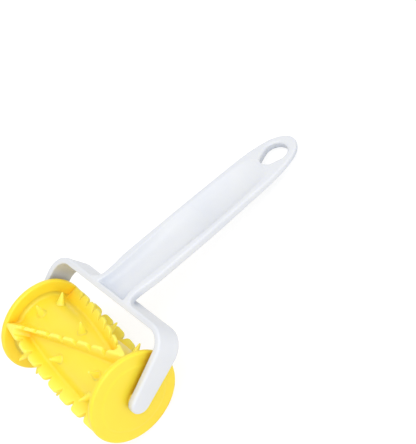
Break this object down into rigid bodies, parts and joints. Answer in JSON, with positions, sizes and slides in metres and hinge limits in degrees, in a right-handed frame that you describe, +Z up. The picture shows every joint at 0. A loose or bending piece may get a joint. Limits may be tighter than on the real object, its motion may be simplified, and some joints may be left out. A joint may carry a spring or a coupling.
{
  "type": "dough docker",
  "caption": "Hand roller for pricking dough: a drum with scalloped zigzag blades and spikes between end discs, turning in a fork on a dished grip with a hanging eye.",
  "frame": {"origin": "on the table under the middle of the whole object, the roller's rims and the tip of the grip both standing on Z = 0", "axes": "+X along the roller's axis, +Y from the roller to the hanging eye, +Z up"},
  "size_m": [0.1046, 0.1974, 0.056],
  "materials": {
    "grey_plastic": "semi-gloss moulded plastic, pale grey",
    "yellow_plastic": "semi-gloss moulded plastic, yellow"
  },
  "bodies": {
    "fork": {"handle_fork": "grey_plastic"},
    "roller": {"roller_drum": "yellow_plastic", "left_end_disc": "yellow_plastic", "right_end_disc": "yellow_plastic"}
  },
  "joints": [
    {"name": "roller_spin", "type": "hinge", "parent": "fork", "child": "roller", "pos_m": [0, -0.07068, 0.028], "axis": [1, 0, 0], "continuous": true}
  ]
}
